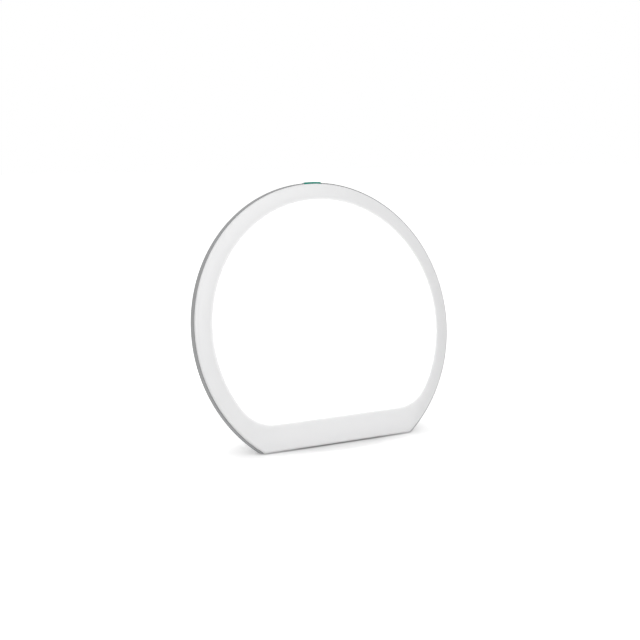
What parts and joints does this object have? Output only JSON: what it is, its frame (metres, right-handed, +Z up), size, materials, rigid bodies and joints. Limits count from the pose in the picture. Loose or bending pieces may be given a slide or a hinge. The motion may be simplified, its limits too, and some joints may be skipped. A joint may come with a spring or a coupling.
{
  "type": "light therapy lamp",
  "caption": "Slim D-shaped light panel with a domed white bezel round an opal window, leaning on a folding rear leg, with a push button in its top edge.",
  "frame": {"origin": "middle of the footprint box, on the surface that the lamp stands on", "axes": "+Z up, +X to the right as seen from the lit side, the lit side faces -Y"},
  "size_m": [0.2284, 0.0594, 0.2026],
  "materials": {
    "white_plastic": "satin white moulded plastic",
    "silver_plastic": "fine-textured silver-grey moulded plastic",
    "teal_plastic": "satin teal plastic",
    "opal_acrylic": "opal white acrylic, lit from behind",
    "clear_acrylic": "clear acrylic light guide",
    "film": "white optical film",
    "foam": "closed-cell black foam",
    "strip": "white flexible strip with lamps",
    "aluminium": "mill-finish aluminium",
    "steel": "zinc-plated steel",
    "board": "green circuit board",
    "black_part": "black moulded component",
    "nylon": "cream nylon connector",
    "lead_sheath": "black insulated wire",
    "rubber": "soft grey rubber"
  },
  "bodies": {
    "lamp_body": {"front_bezel": "white_plastic", "edge_gasket": "foam", "diffuser_panel": "opal_acrylic", "diffuser_film": "film", "light_guide": "clear_acrylic", "reflector_sheet": "film", "light_frame": "white_plastic", "led_strip_right": "strip", "led_strip_left": "strip", "strip_jumper": "lead_sheath", "backing_plate": "aluminium", "rear_housing": "silver_plastic", "hinge_pin": "steel", "hinge_washer_right": "steel", "hinge_washer_left": "steel", "switch_board": "board", "tact_switch": "black_part", "control_board": "board", "driver_chip": "black_part", "driver_inductor": "black_part", "input_capacitor": "aluminium", "output_capacitor": "aluminium", "led_connector": "nylon", "switch_connector": "nylon", "power_connector": "nylon", "dc_jack": "black_part", "jack_pin": "steel", "led_lead": "lead_sheath", "switch_lead": "lead_sheath", "power_lead": "lead_sheath", "base_foot_right": "rubber", "base_foot_left": "rubber", "housing_screw_1": "steel", "housing_screw_2": "steel", "housing_screw_3": "steel", "housing_screw_4": "steel", "housing_screw_5": "steel", "housing_screw_6": "steel", "plate_screw_1": "steel", "plate_screw_2": "steel", "plate_screw_3": "steel", "plate_screw_4": "steel", "board_screw_1": "steel", "board_screw_2": "steel", "board_screw_3": "steel"},
    "kickstand": {"kickstand_leg": "silver_plastic", "kickstand_shoe": "rubber"},
    "button": {"power_button": "teal_plastic", "switch_plunger": "black_part"}
  },
  "joints": [
    {"name": "kickstand_hinge", "type": "hinge", "parent": "lamp_body", "child": "kickstand", "pos_m": [0, 0.00792, 0.10967], "axis": [1, 0, 0], "range_deg": [-22, 0]},
    {"name": "button_press", "type": "slide", "parent": "lamp_body", "child": "button", "axis": [0, -0.2079, -0.9781], "range_m": [0, 0.0006], "stiffness_N_per_m": 1500, "springref_m": -0.0003}
  ]
}
